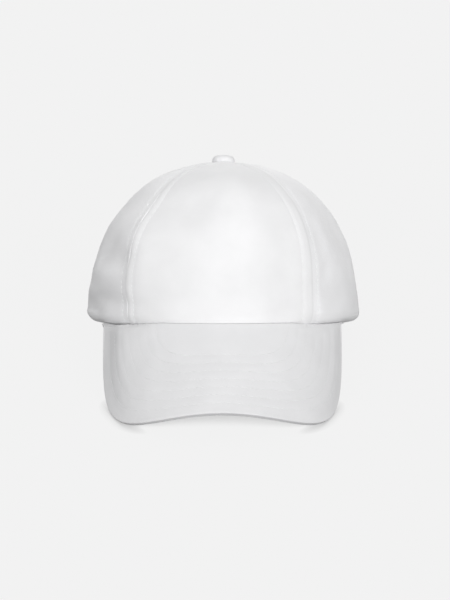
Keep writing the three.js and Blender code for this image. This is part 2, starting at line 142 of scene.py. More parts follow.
BAND_EDGE_ROUND = 0.3
BAND_COLUMNS = 420
BAND_LINES = 34
STRAP_HEIGHT = 25.0
STRAP_THICKNESS = 1.2
STRAP_HIDDEN = 14.0
STRAP_OVERLAP = 30.0
STRAP_GAP = 0.3
STRAP_SEAT = WALL + 2 * STRAP_GAP
STRAP_FOOT = 1.5
STRAP_MIDDLE = STRAP_FOOT + STRAP_HEIGHT / 2
STRAP_END_LEAST = 0.04
STRAP_EDGE_ROUND = 0.35
STRAP_HEM = 1.2
STRAP_ROW = 2.2
STRAP_ROW_SPREAD = 0.5
STRAP_ROW_END = 0.14
STRAP_RELIEF = 0.12
STRAP_THREAD_SINK = 0.05
STRAP_COLUMNS = 96
STRAP_COLUMN_EASE = 0.9
STRAP_LINES = 30

# Soft dents and rolls: angle round the crown (negative is the wearer's right), height above the rim,
# half spreads along and up, and depth (negative stands out)
DENTS = np.array(
    [(-88.7, 52.5, 13.4, 48.3, 3.5), (-69.4, 5, 8.9, 13.1, 3.5), (-63.1, 41.4, 8, 8.7, 2.9),
     (-60.8, 33, 13.2, 6.4, -1.7), (-69.4, 18.7, 10.7, 6, -2.2), (-59.8, 63.1, 16.5, 23.6, -2.5),
     (-59, 51.8, 10.1, 8.4, 2.5), (-61.6, 16.6, 9.7, 6, 2.6), (-49.8, 40.8, 8.9, 7.3, 2.3),
     (-43.3, 12.1, 11, 5.9, 1.8), (-36.7, 37.1, 7, 19.4, -1.5), (-28.6, 74.3, 48.3, 16.1, 3.3),
     (54, 40.2, 7, 19.1, 0.8), (53.6, 13.6, 9.2, 9.7, 1.9), (71.4, 63, 16, 23.6, 3),
     (49.9, 61.8, 7, 7.7, 0.6), (87.8, 27.1, 9, 14, 1.5), (49.4, 4.7, 15.7, 14.3, -1.9),
     (48.3, 39.2, 5, 22.5, 1), (5.8, 67.1, 16.3, 24.2, -1.3), (29.9, 41.4, 8.5, 33, 1.3),
     (-13.4, 72.9, 8.3, 14.2, 1.1), (8.8, 0.3, 16, 6, 1.3), (6, 54.9, 16.2, 38.8, -1.3),
     (-23.7, 76.8, 13.9, 9.2, 0.8)],
    dtype=[("angle", float), ("height", float), ("along", float), ("up", float), ("depth", float)])
DENT_FADE = 8.0

# Unevenness of the cloth: its strength, the sizes of its broad and fine waves and the share of the fine ones,
# the height over which it starts at the rim, and the spread of sizes in one field of waves
FRONT_SOFTNESS = 0.1
FLANK_SOFTNESS = 0.3
BROAD_WAVE = 34.0
FINE_WAVE = 13.0
FINE_SHARE = 0.35
CALM_RIM = 14.0
WAVE_SPREAD = (0.75, 1.6)
WAVE_NORM = 1.4

# Sewing: lengths in millimetres, and shares, powers, counts and seeds
SEAM_ROW = 4.8
FRONT_ROW_LEFT = 7.6
FRONT_ROW_RIGHT = 5.2
SEAM_GROOVE = 0.2
SEAM_SPREAD = 0.9
SEAM_PAST = 1.6
FRONT_PAST = -0.3
FRONT_GROOVE = 0.0
ALLOWANCE_RISE = 0.22
FRONT_RISE = 0.24
FLANK_FALL = 0.2
FLANK_PLACE = 2.2
FLANK_SPREAD = 2.0
ALLOWANCE_EDGE = 1.2
STITCH_DIP = 0.16
STITCH_SPREAD = 1.1
STITCH_PITCH = 3.0
STITCH_LENGTH = 2.5
STITCH_JITTER = 0.08
STITCH_ENDS = (0.04, 0.96)
STITCH_TAPER = 0.4
STITCH_RISE = 1.7
STITCH_SINK = 1.45
STITCH_STEPS = 7
STITCH_SIDES = 6
THREAD_RADIUS = 0.17
PUCKER = 0.07
PUCKER_SPREAD = 2.6
PUCKER_SIZES = (4.2, 6.1, 9.3, 14.0)
PUCKER_NORM = 2.2
PEAK_FIRST_ROW = 7.0
PEAK_ROW_PITCH = 6.2
PEAK_ROWS = 7
PEAK_PUFF = 0.04
PEAK_PUFF_SPREAD = 1.9
PEAK_DIP = 0.08
PEAK_DIP_SPREAD = 0.8
PEAK_GATHER = 0.025
PEAK_GATHER_SIZE = 5.0
PEAK_GATHER_SQUEEZE = 0.45
PEAK_BROAD_SIZE = 11.0
PEAK_BROAD_SHARE = 0.6
PEAK_GATHER_PLAIN = 0.35
PEAK_SEWN_START = (1.0, 5.0)
PEAK_SEWN_END = 6.0
PEAK_TOP_SEED = 31
PEAK_UNDER_SEED = 37
PEAK_ROW_CLEAR = 1.2
PEAK_ROW_BACK = -60.0
PEAK_BACK_SPOTS = 59
ARCH_ROWS = (1.8, 7.0)
ARCH_GROOVE = 0.1
ARCH_RISE = 0.4
HEM_ROW = 3.6
HEM_ROW_SPREAD = 0.75
HEM_TOP = (6.0, 8.0)
HEM_START = 6.0
HEM_STITCH_START = 3.0
GRID = 1.15
PANEL_TUCK = 0.12
EDGE_POWER = 0.5
GROOVE_SPREAD = 0.4

# View, as the photograph has it: over the rim's plane, at a distance, with the focal length of a 36 mm frame
VIEW_HEIGHT = 50.0
VIEW_ELEVATION = math.radians(12)
VIEW_DISTANCE = 1500.0
FOCAL_LENGTH = 137.3
AIM_RIGHT = 1.8
AIM_DOWN = 35.4

# Light: the even sky, the paper's own brightness, and the broad lights by azimuth, elevation, strength, spread
SKY = 0.55
PAPER = 0.888
PAPER_SHADE = 0.02
PAPER_BOUNCE = 0.09
# Painted shadow on the paper: ambient occlusion near the cap and under the peak dims its glow
CONTACT_REACH = 0.006
PAINTED_CONTACT_SHARE = 0.5
SHELTER_REACH = 0.1
SHELTER_OPEN = (0.3, 0.58)
SHELTER_ELEVATION = 28
SHELTER_FRONT = (0.45, 0.53)
PAINTED_SHELTER_TONE = 0.35
SUNS = [("main", 30, 24, 0.583, 28), ("fill", -35, 14, 0.339, 28), ("back", 179, 6, 0.3, 28)]
FLOOR_HALF = 6.0

# Colours of the cloths and threads. Some are darker copies of the same white that stand in for shade.
CROWN_WHITE = (0.866, 0.866, 0.876)
# Painted shade: the front panel's white is a darker copy of the crown's white
FRONT_SHADED_WHITE = (0.793, 0.793, 0.8)
# Painted shade: the button's white is a darker copy of the crown's white
BUTTON_SHADED_WHITE = (0.74, 0.74, 0.75)
# Painted shade: the peak's white is a darker copy of the crown's white
PEAK_SHADED_WHITE = (0.695, 0.695, 0.703)
BAND_WHITE = (0.82, 0.82, 0.82)
SEWING_WHITE = (0.77, 0.77, 0.78)
# Painted shade: the peak's thread is a darker copy of the sewing thread
PEAK_SHADED_SEWING_WHITE = (0.7, 0.7, 0.71)

# Weave: pitch of the ribs in millimetres, strength and depth of the relief, share of yarns and fibres in it,
# and the darker tone of its unevenness
TWILL_PITCH = 0.75
BAND_PITCH = 0.6
TWILL_RELIEF = 0.2
FRONT_RELIEF = 0.18
WEAVE_DEPTH = 0.12
YARN_RELIEF = 0.35
FIBRE_RELIEF = 0.5
DARK_TONE = 0.955
TWIST_DEPTH = 0.05

# The cap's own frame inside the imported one: the middle of the rim, and the tilt at which the cap rests
opening = next(m for m in frame["record"]["mounts"] if m["name"] == "head_opening")
cap_origin = np.array(opening["pos_m"])
tilt = math.atan2(-opening["axis"][1], -opening["axis"][2])
cap_turn = np.array([[1, 0, 0], [0, math.cos(tilt), math.sin(tilt)], [0, -math.sin(tilt), math.cos(tilt)]])


def placed(points):
    """Points of the cap's own frame, in millimetres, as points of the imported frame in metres."""
    return np.asarray(points) @ cap_turn.T * MM + cap_origin


def smoothstep(value, low, high):
    t = np.clip((value - low) / (high - low), 0, 1)
    return t * t * (3 - 2 * t)


def mix(a, b, share):
    return a + (b - a) * share


def bell(distance, spread):
    return np.exp(-((distance / spread) ** 2))


def unit(vectors):
    return vectors / np.maximum(np.linalg.norm(vectors, axis=-1, keepdims=True), 1e-12)


def ripples(points, size, seed, waves=9):
    """Smooth random field of about -1 to 1, whose bumps are about size across."""
    rng = np.random.default_rng(seed)
    direction = unit(rng.normal(size=(waves, 3)))
    pace = 2 * math.pi / (size * rng.uniform(*WAVE_SPREAD, waves))
    phase = rng.uniform(0, 2 * math.pi, waves)
    return np.sin(points @ (direction * pace[:, None]).T + phase).sum(-1) / math.sqrt(waves) / WAVE_NORM


# Crown surface


def level_at(height):
    """Level of the crown at a height above the rim, as an angle from 0 at the rim to 90 degrees at the top."""
    return np.arcsin(np.minimum(height / CROWN_HEIGHT, 1) ** (SIDE_FULLNESS / 2))


def height_at(level):
    return CROWN_HEIGHT * np.sin(level) ** (2 / SIDE_FULLNESS)


def rim_height(y):
    return RIM_SLOPE * (np.hypot(y, RIM_BEND) - y) / 2


def smooth_crown(angle, level):
    """Point on the smooth outside of the crown, without its dents."""
    height = height_at(level)
    share = height / CROWN_HEIGHT
    facing = np.cos(angle)
    fullness = mix(SIDE_FULLNESS, np.where(facing > 0, FRONT_FULLNESS, BACK_FULLNESS), facing**2)
    reach = np.where(facing > 0, FRONT_REACH, BACK_REACH)
    width_share = np.cos(level) ** (2 / SIDE_FULLNESS)
    reach_share = (1 - share**fullness) ** (1 / fullness)
    around = np.degrees(np.abs(np.arctan2(np.sin(angle), facing)))
    beside = bell(around - RIM_DIP_ANGLE, RIM_DIP_SPREAD)
    skew = 1 - RIM_SKEW * np.sin(angle)
    roll = mix(ROLL_FRONT, ROLL_SIDE, np.sin(angle) ** 2)
    roll = roll * np.maximum(1 - height / (ROLL_HEIGHT * skew), 0) ** 2
    inset = skew * (roll + RIM_DIP_ROLL * beside * np.maximum(1 - height / DIP_ROLL_HEIGHT, 0) ** 2)
    x = (HALF_WIDTH * width_share - inset) * np.sin(angle) + CROWN_LEAN * share**2
    y = -(reach * reach_share - inset) * facing + BUTTON_Y * share**2
    top = -RIM_SLOPE * (y - BUTTON_Y)
    dip = RIM_DIP * skew * beside * np.maximum(1 - height / RIM_DIP_HEIGHT, 0) ** 2
    return np.stack([x, y, height + mix(rim_height(y), top, share) - dip], -1)


def crown_normal(angle, level, step=1e-3):
    around = smooth_crown(angle + step, level) - smooth_crown(angle - step, level)
    above = np.minimum(level + step, math.pi / 2 - step)
    below = np.maximum(above - 2 * step, 0)
    up = smooth_crown(angle, above) - smooth_crown(angle, below)
    return unit(np.cross(around, up))


def dent_depth(angle, height):
    total = np.zeros(np.broadcast(angle, height).shape)
    for dent in DENTS:
        along = (np.degrees(angle) - dent["angle"]) / dent["along"]
        up = (height - dent["height"]) / dent["up"]
        total += dent["depth"] * np.exp(-(along**2 + up**2))
    return total * smoothstep(height, 0, DENT_FADE)


def seam_ridge(angle, height):
    """Height of the soft ridge that each front seam makes between the stiff front and the soft side."""
    seam = mix(np.where(angle > 0, SEAM_FOOT_LEFT, SEAM_FOOT_RIGHT), FRONT_SEAM,
               smoothstep(height, 0, FRONT_SEAM_BEND))
    beside = np.hypot(np.degrees(np.abs(angle)) - seam, RIDGE_ROUND) - RIDGE_ROUND
    ridge = np.where(angle > 0, RIDGE_LEFT, RIDGE_RIGHT) * np.exp(-beside / RIDGE_SPREAD)
    return ridge * smoothstep(height, 0, RIDGE_FOOT) * (1 - smoothstep(height, *RIDGE_FADE))


def span_angle(length, angle, level, step=1e-3):
    """Angle round the crown that spans a length at a level."""
    move = smooth_crown(angle + step, level) - smooth_crown(angle - step, level)
    return length / (np.linalg.norm(move, axis=-1) / (2 * step))


def front_seam(side):
    foot = SEAM_FOOT_LEFT if side > 0 else SEAM_FOOT_RIGHT

    def seam(level):
        share = smoothstep(height_at(level), 0, FRONT_SEAM_BEND)
        return side * np.radians(mix(foot, FRONT_SEAM, share))

    return seam


def back_seam(side):
    return lambda level: np.full(np.shape(level), side * math.radians(BACK_SEAM))


def centre_seam(side):
    return lambda level: np.full(np.shape(level), side * math.pi)


TOP_LEVEL = math.acos((PANEL_TOP_RADIUS / HALF_WIDTH) ** (SIDE_FULLNESS / 2))


def arch_angle(height, grown=0.0):
    """Angle of the back opening's edge from the middle of the back, with the opening grown all round."""
    share = np.minimum(height / (ARCH_HEIGHT + grown), 1)
    half_width = (ARCH_HALF_WIDTH + grown) * np.sqrt(1 - share**2)
    return np.arcsin(half_width / (HALF_WIDTH * np.cos(level_at(height)) ** (2 / SIDE_FULLNESS)))


def even_line(angle, level, count):
    """The same line on the crown with its points an even distance apart, and its length."""
    points = smooth_crown(angle, level)
    run = np.concatenate([[0], np.cumsum(np.linalg.norm(np.diff(points, axis=0), axis=1))])
    spots = np.linspace(0, run[-1], count)
    return np.interp(spots, run, angle), np.interp(spots, run, level), run[-1]


def seam_line(seam, count=400):
    level = np.linspace(0, TOP_LEVEL, 1500)
    return even_line(seam(level), level, count)


def arch_line(side, count=400, grown=0.0):
    """Edge of the opening from the rim up to the middle."""
    height = (ARCH_HEIGHT + grown) * np.sin(np.linspace(0, math.pi / 2, 700))
    return even_line(side * (math.pi - arch_angle(height, grown)), level_at(height), count)


def centre_line(side, count=400):
    """Seam in the middle of the back, from the opening up."""
    level = np.linspace(level_at(ARCH_HEIGHT), TOP_LEVEL, 800)
    return even_line(centre_seam(side)(level), level, count)


def spaced(edge, steps):
    """Angles and levels along an edge of one or two stretches, with a point where they meet."""
    lengths = [stretch[2] for stretch in edge]
    split = [round(steps * length / sum(lengths)) for length in lengths[:-1]]
    split.append(steps - sum(split))
    lines = [even_line(*stretch[:2], count + 1)[:2] for stretch, count in zip(edge, split)]
    return [np.concatenate([line[k][min(n, 1):] for n, line in enumerate(lines)]) for k in range(2)]


def nearest(points, line):
    """Distance from each point to a line of points, and how far along the line the nearest spot lies."""
    flat = points.reshape(-1, 3)
    start, step = line[:-1], np.diff(line, axis=0)
    length = np.linalg.norm(step, axis=1)
    run = np.concatenate([[0], np.cumsum(length)])
    distance, along = [], []
    for block in np.array_split(flat, max(1, len(flat) // 1500)):
        offset = block[:, None] - start
        t = np.clip((offset * step).sum(-1) / length**2, 0, 1)
        square = ((offset - t[..., None] * step) ** 2).sum(-1)
        k = square.argmin(1)
        rows = np.arange(len(block))
        distance.append(np.sqrt(square[rows, k]))
        along.append(run[k] + t[rows, k] * length[k])
    return np.concatenate(distance).reshape(points.shape[:-1]), np.concatenate(along).reshape(points.shape[:-1])


def puckers(along, seed):
    """Uneven gathers along a row of stitches, about -1 to 1."""
    rng = np.random.default_rng(seed)
    total = np.zeros_like(along)
    for size in PUCKER_SIZES:
        pace = 2 * math.pi / (size * rng.uniform(0.9, 1.1))
        total += np.sin(along * pace + rng.uniform(0, 2 * math.pi)) * rng.uniform(0.5, 1)
    return total / PUCKER_NORM


def sewn_relief(points, seam, seed):
    """Height of the cloth beside a seam or edge: the fold, the allowance under it and the stitched rows."""
    distance, along = nearest(points, seam["line"])
    width = seam["rows"][-1] + seam["past"]
    height = seam["rise"] * (1 - smoothstep(distance, width - ALLOWANCE_EDGE, width + ALLOWANCE_EDGE))
    height -= seam["fall"] * bell(distance - FLANK_PLACE, FLANK_SPREAD)
    height *= 1 - bell(distance, SEAM_SPREAD)
    height -= seam["groove"] * bell(distance, SEAM_SPREAD)
    for row in seam["rows"]:
        height -= STITCH_DIP * bell(distance - row, STITCH_SPREAD)
        height += PUCKER * puckers(along, seed) * bell(distance - row, PUCKER_SPREAD)
    return height


def seam_kind(line, rows, groove=SEAM_GROOVE, rise=ALLOWANCE_RISE, past=SEAM_PAST, fall=0.0):
    """A seam or edge as one panel's cloth shows it: its rows, the depth of its groove, the rise over the
    allowance, how far past the last row that reaches, and the valley beside the groove."""
    points = smooth_crown(*line[:2])
    return {"line": points, "rows": rows, "groove": groove, "rise": rise, "past": past, "fall": fall}


def hem_relief(angle, level):
    """Stitched hem along the rim, behind the peak's ends."""
    height = height_at(level)
    beside = smoothstep(np.abs(np.degrees(angle)), PEAK_END_ANGLE, PEAK_END_ANGLE + HEM_START)
    rise = ALLOWANCE_RISE * (1 - smoothstep(height, *HEM_TOP))
    return beside * (rise - STITCH_DIP * bell(height - HEM_ROW, HEM_ROW_SPREAD))


class Panel:
    """One panel of the crown: its two edges, and the seams whose relief its cloth carries."""

    def __init__(self, name, edges, seams, softness, seed):
        self.name = name
        self.edges = edges
        self.seams = seams
        self.softness = softness
        self.seed = seed

    def lift(self, angle, level):
        """How far the outside stands out from the smooth crown."""
        points = smooth_crown(angle, level)
        height = height_at(level)
        lift = seam_ridge(angle, height) - dent_depth(angle, height)
        for k, seam in enumerate(self.seams):
            lift += sewn_relief(points, seam, self.seed + k)
        lift += hem_relief(angle, level)
        calm = smoothstep(height, 0, CALM_RIM)
        lift += calm * self.softness * ripples(points, BROAD_WAVE, self.seed + 10)
        lift += calm * FINE_SHARE * self.softness * ripples(points, FINE_WAVE, self.seed + 11)
        return lift

    def surface(self, angle, level):
        return smooth_crown(angle, level) + crown_normal(angle, level) * self.lift(angle, level)[..., None]


def panels():
    edges = [seam_line(front_seam(-1)), seam_line(front_seam(1))]
    seams = [seam_kind(edge, (row,), FRONT_GROOVE, FRONT_RISE, past=FRONT_PAST)
             for edge, row in zip(edges, (FRONT_ROW_RIGHT, FRONT_ROW_LEFT))]
    made = [Panel("front_panel", [[edge] for edge in edges], seams, FRONT_SOFTNESS, 100)]
    for side, word in ((1, "left"), (-1, "right")):
        front, back = seam_line(front_seam(side)), seam_line(back_seam(side))
        arch, centre = arch_line(side), centre_line(side)
        edges = [[front], [back]][::side]
        seams = [seam_kind(front, (SEAM_ROW,), FRONT_GROOVE, 0.0, fall=FLANK_FALL),
                 seam_kind(back, (SEAM_ROW,))]
        made.append(Panel(f"side_panel_{word}", edges, seams, FLANK_SOFTNESS, 200 + 50 * side))
        edges = [[back], [arch, centre]][::side]
        seams = [seam_kind(back, (SEAM_ROW,)), seam_kind(centre, (SEAM_ROW,)),
                 seam_kind(arch, ARCH_ROWS, groove=ARCH_GROOVE, rise=ARCH_RISE)]
        made.append(Panel(f"back_panel_{word}", edges, seams, FLANK_SOFTNESS, 400 + 50 * side))
    return {panel.name: panel for panel in made}


# Meshes


def new_object(name, points, faces, coords=None, slot="crown_cloth", node=None, crease=None):
    """A smooth-shaded mesh object that rides with the cap, with its weave coordinates in metres. Its shading
    breaks at edges between points of the crease."""
    mesh = bpy.data.meshes.new(name)
    mesh.from_pydata(placed(points).tolist(), [], [list(map(int, face)) for face in faces])
    mesh.validate()
    if coords is not None:
        layer = mesh.uv_layers.new(name="weave")
        corners = np.empty(len(mesh.loops), dtype=np.int32)
        mesh.loops.foreach_get("vertex_index", corners)
        layer.data.foreach_set("uv", (np.asarray(coords)[corners] * MM).ravel())
    mesh.polygons.foreach_set("use_smooth", np.ones(len(mesh.polygons), dtype=bool))
    if crease is not None:
        ends = np.empty(2 * len(mesh.edges), dtype=np.int32)
        mesh.edges.foreach_get("vertices", ends)
        mesh.edges.foreach_set("use_edge_sharp", np.isin(ends.reshape(-1, 2), crease).all(-1))
    piece = bpy.data.objects.new(name, mesh)
    bpy.context.scene.collection.objects.link(piece)
    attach(piece, "root")
    if node:
        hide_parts(node)
    return piece


def border_loop(rows, columns):
    """Indices of a grid's border, once round."""
    index = np.arange(rows * columns).reshape(rows, columns)
    return np.concatenate([index[0, :-1], index[:-1, -1], index[-1, :0:-1], index[:0:-1, 0]])


def slab(name, upper, lower, coords, bulge=0.0, strips=3, groove=0.0, **words):
    """Closed body between two grids of points, whose border is rounded by strips that stand out by the bulge,
    with a groove along their middle that takes a share of it."""
    rows, columns = upper.shape[:2]
    count = rows * columns
    index = np.arange(count).reshape(rows, columns)
    quads = np.stack([index[:-1, :-1], index[:-1, 1:], index[1:, 1:], index[1:, :-1]], -1).reshape(-1, 4)
    loop = border_loop(rows, columns)
    top, bottom = upper.reshape(-1, 3), lower.reshape(-1, 3)
    inner = np.pad(upper[1:-1, 1:-1], ((1, 1), (1, 1), (0, 0)), mode="edge").reshape(-1, 3)[loop]
    middle = (top[loop] + bottom[loop]) / 2
    half = (top[loop] - bottom[loop]) / 2
    outward = unit(np.cross(np.roll(middle, -1, 0) - np.roll(middle, 1, 0), half))
    outward *= np.sign((outward * (top[loop] - inner)).sum()) * np.broadcast_to(bulge, len(loop))[:, None]
    turns = np.linspace(0, math.pi, strips + 2)[1:-1]
    rings = []
    for t in turns:
        swell = math.sin(t) ** EDGE_POWER - groove * bell(math.cos(t), GROOVE_SPREAD)
        rings.append(middle + half * math.cos(t) + outward * swell)
    points = np.concatenate([top, bottom, *rings])
    faces = [quads, quads[:, ::-1] + count]
    chain = [loop] + [np.arange(len(loop)) + 2 * count + k * len(loop) for k in range(strips)] + [loop + count]
    for a, b in zip(chain[:-1], chain[1:]):
        faces.append(np.stack([a, b, np.roll(b, -1), np.roll(a, -1)], -1))
    flat = coords.reshape(-1, 2)
    flat = np.concatenate([flat, flat, *[flat[loop]] * strips])
    faces = np.concatenate(faces)
    a, b, c, d = (points[faces[:, k]] for k in range(4))
    volume = (a * np.cross(b, c)).sum() + (a * np.cross(c, d)).sum()
    crease = np.concatenate([loop, loop + count]) if np.all(np.equal(bulge, 0)) else None
    return new_object(name, points, faces if volume > 0 else faces[:, ::-1], flat, crease=crease, **words)


def values_at(spots, run, values):
    """Vectors given along a line, read at spots of its length."""
    return np.stack([np.interp(spots, run, values[:, k]) for k in range(3)], -1)


def stitches(name, lines, seed, **words):
    """Rows of stitches, each a short length of thread that rises from the cloth and dips back into it.
    A line is its points and the normals of the cloth there."""
    rng = np.random.default_rng(seed)
    share = np.linspace(0, 1, STITCH_STEPS)
    turn = np.linspace(0, 2 * math.pi, STITCH_SIDES, endpoint=False)
    swell = np.sin(math.pi * np.clip(share, *STITCH_ENDS)) ** STITCH_TAPER
    centres, normals, tangents = [], [], []
    for points, outward in lines:
        run = np.concatenate([[0], np.cumsum(np.linalg.norm(np.diff(points, axis=0), axis=1))])
        count = int(run[-1] // STITCH_PITCH)
        start = (np.arange(count) + 0.5) * run[-1] / max(count, 1) - STITCH_LENGTH / 2
        start = start + rng.normal(scale=STITCH_JITTER, size=count)
        spots = start[:, None] + STITCH_LENGTH * share
        normal = unit(values_at(spots, run, outward))
        rise = THREAD_RADIUS * (STITCH_RISE * swell - STITCH_SINK)
        centre = values_at(spots, run, points) + normal * rise[None, :, None]
        centres.append(centre)
        normals.append(normal)
        tangents.append(unit(np.gradient(centre, axis=1)))
    centre, normal, tangent = map(np.concatenate, (centres, normals, tangents))
    side = unit(np.cross(tangent, normal))
    ring = normal[:, :, None] * np.cos(turn)[:, None] + side[:, :, None] * np.sin(turn)[:, None]
    points = centre[:, :, None] + ring * (THREAD_RADIUS * swell)[None, :, None, None]
    count, steps, sides = points.shape[:3]
    index = np.arange(count * steps * sides).reshape(count, steps, sides)
    a, b = index[:, :-1], index[:, 1:]
    quads = np.stack([a, np.roll(a, -1, 2), np.roll(b, -1, 2), b], -1).reshape(-1, 4)
    ends = [index[:, 0, ::-1], index[:, -1]]
    faces = quads[:, ::-1].tolist() + np.concatenate(ends)[:, ::-1].tolist()
    return new_object(name, points.reshape(-1, 3), faces, **words)


def crown_grid(panel):
    """Angles and levels of a panel's fine grid."""
    steps = int(max(sum(stretch[2] for stretch in edge) for edge in panel.edges) / GRID)
    (left_angle, left_level), (right_angle, right_level) = [spaced(edge, steps) for edge in panel.edges]
    foot = smooth_crown(np.linspace(left_angle[0], right_angle[0], 200), np.zeros(200))
    columns = int(np.linalg.norm(np.diff(foot, axis=0), axis=1).sum() / GRID)
    left_angle = left_angle - span_angle(PANEL_TUCK, left_angle, left_level)
    right_angle = right_angle + span_angle(PANEL_TUCK, right_angle, right_level)
    share = np.linspace(0, 1, columns)
    angle = mix(left_angle[:, None], right_angle[:, None], share)
    height = mix(height_at(left_level)[:, None], height_at(right_level)[:, None], share)
    return angle, level_at(height)


def weave_coords(points):
    """Lengths along and up a panel's cloth, from its middle column and lowest row."""
    across = np.linalg.norm(np.diff(points, axis=1, prepend=points[:, :1]), axis=-1).cumsum(1)
    across -= across[:, [across.shape[1] // 2]]
    up = np.linalg.norm(np.diff(points, axis=0, prepend=points[:1]), axis=-1).cumsum(0)
    return np.stack([across, up], -1)


def crown_panel(panel):
    angle, level = crown_grid(panel)
    outer = panel.surface(angle, level)
    height = height_at(level)
    under = WALL + dent_depth(angle, height) - seam_ridge(angle, height)
    inner = smooth_crown(angle, level) - crown_normal(angle, level) * under[..., None]
    return slab(panel.name + "_cloth", outer, inner, weave_coords(outer), strips=1, node=panel.name)


def row_beside(panel, seam, distance, low=2.0):
    """Line of stitches at a distance from a seam: its points on the cloth, and the normals there."""
    level = np.linspace(level_at(low), level_at(CROWN_HEIGHT * 0.999), 1200)
    angle = seam(level)
    angle = angle + span_angle(distance, angle, level)
    angle, level, length = even_line(angle, level, 700)
    keep = np.hypot(*(smooth_crown(angle, level)[:, :2] - [CROWN_LEAN, BUTTON_Y]).T) > BUTTON_RADIUS - 1
    return panel.surface(angle, level)[keep], crown_normal(angle, level)[keep]


def crown_stitches(shapes):
    front = shapes["front_panel"]
    lines = []
    for side, word in ((1, "left"), (-1, "right")):
        flank, back = shapes[f"side_panel_{word}"], shapes[f"back_panel_{word}"]
        row = FRONT_ROW_LEFT if side > 0 else FRONT_ROW_RIGHT
        lines.append(row_beside(front, front_seam(side), -side * row))
        lines.append(row_beside(flank, front_seam(side), side * SEAM_ROW))
        lines.append(row_beside(flank, back_seam(side), -side * SEAM_ROW))
        lines.append(row_beside(back, back_seam(side), side * SEAM_ROW))
        lines.append(row_beside(back, centre_seam(side), -side * SEAM_ROW, low=ARCH_HEIGHT + ARCH_ROWS[1]))
        for row in ARCH_ROWS:
            angle, level, _ = arch_line(side, 500, row)
            lines.append((back.surface(angle, level), crown_normal(angle, level)))
        stretches = ((flank, PEAK_END_ANGLE + HEM_STITCH_START, BACK_SEAM), (back, BACK_SEAM, 180))
        for panel, start, end in stretches:
            stop = math.degrees(math.pi - arch_angle(HEM_ROW)) if end == 180 else end
            angle = side * np.radians(np.linspace(start, stop, 500))
            level = np.full(500, level_at(HEM_ROW))
            lines.append((panel.surface(angle, level), crown_normal(angle, level)))
    return stitches("crown_stitches", lines, seed=5, slot="crown_cloth")


# Peak


def peak_bend(across):
    """The peak's turn, reach across and drop at a distance along its flat outline from the middle line."""
    steps = np.linspace(0, 110, 1200)
    turn = steps / PEAK_ROLL_RADIUS * (1 + PEAK_ROLL_EASE * (steps / PEAK_ROLL_SPAN) ** 2 / 3)
    middle = (turn[1:] + turn[:-1]) / 2
    reach = np.concatenate([[0], np.cumsum(np.cos(middle)) * steps[1]])
    drop = np.concatenate([[0], np.cumsum(np.sin(middle)) * steps[1]])
    size, sign = np.abs(across), np.sign(across)
    turn, reach, drop = (np.interp(size, steps, values) for values in (turn, reach, drop))
    return sign * turn, sign * reach, drop


PEAK_AXIS = np.array([0, -math.cos(PEAK_PITCH), -math.sin(PEAK_PITCH)])
PEAK_NORMAL = np.array([0, -math.sin(PEAK_PITCH), math.cos(PEAK_PITCH)])
peak_root = smooth_crown(np.zeros(1), np.zeros(1))[0] + [0, 0, PEAK_SEAT]


def peak_top(across, along):
    _, reach, drop = peak_bend(across)
    point = peak_root + along[..., None] * PEAK_AXIS - drop[..., None] * PEAK_NORMAL
    point[..., 0] += reach
    return point


def peak_up(across):
    turn = peak_bend(across)[0]
    up = np.cos(turn)[..., None] * PEAK_NORMAL
    up[..., 0] = np.sin(turn)
    return up


def peak_inner_edge(angle):
    """Flat coordinates of the peak's inner edge against the rim, and the lift that meets it."""
    level = np.full(angle.shape, level_at(PEAK_SEAT))
    outward = crown_normal(angle, level)
    outward[..., 2] = 0
    end = PEAK_CLEAR_END * (1 - RIM_SKEW * np.sin(angle))
    beside = np.abs(np.degrees(angle)) - PEAK_CLEAR_SKEW * np.sign(angle)
    clear = mix(PEAK_CLEAR_MIDDLE, end, smoothstep(beside, *PEAK_CLEAR_ANGLES))
    foot = smooth_crown(angle, level) + unit(outward) * clear[:, None]
    across = foot[..., 0].copy()
    for _ in range(12):
        across += foot[..., 0] - peak_bend(across)[1]
    drop = peak_bend(across)[2]
    along = (peak_root[1] - foot[..., 1] + drop * math.sin(PEAK_PITCH)) / math.cos(PEAK_PITCH)
    return across, along, foot[..., 2] - peak_top(across, along)[..., 2]


def peak_outline(turn, inset=0.0):
    """Flat outline of the peak, or of a row inside it."""
    across = np.sign(turn) * (PEAK_HALF_WIDTH - inset) * np.abs(np.sin(turn)) ** (2 / PEAK_SQUARENESS)
    forward = (PEAK_LENGTH - inset - PEAK_CORNER_START) * np.abs(np.cos(turn)) ** (2 / PEAK_SQUARENESS)
    return across, PEAK_CORNER_START + forward


def peak_inset(across, along):
    """Distance of a flat spot from the outline, as the inset of the row that runs through it."""
    low, high = np.full(across.shape, -3.0), np.full(across.shape, 80.0)
    forward = np.maximum(along - PEAK_CORNER_START, 0)
    for _ in range(40):
        middle = (low + high) / 2
        reach = (np.abs(across) / (PEAK_HALF_WIDTH - middle)) ** PEAK_SQUARENESS
        reach += (forward / (PEAK_LENGTH - middle - PEAK_CORNER_START)) ** PEAK_SQUARENESS
        outside = reach > 1
        high = np.where(outside, middle, high)
        low = np.where(outside, low, middle)
    return low


def peak_shoulder(across, along, from_rim):
    """Height of the peak over its plain bend, where its sides stand up before they fall to the edge."""
    sides = zip(SHOULDER_LEFT, SHOULDER_RIGHT)
    size, low, high = (np.where(across > 0, left, right) for left, right in sides)
    size = size * smoothstep(np.abs(across), *SHOULDER_ACROSS)
    size = size * smoothstep(from_rim, 0, SHOULDER_ROOT)
    return size * smoothstep(peak_inset(across, along), low, high)


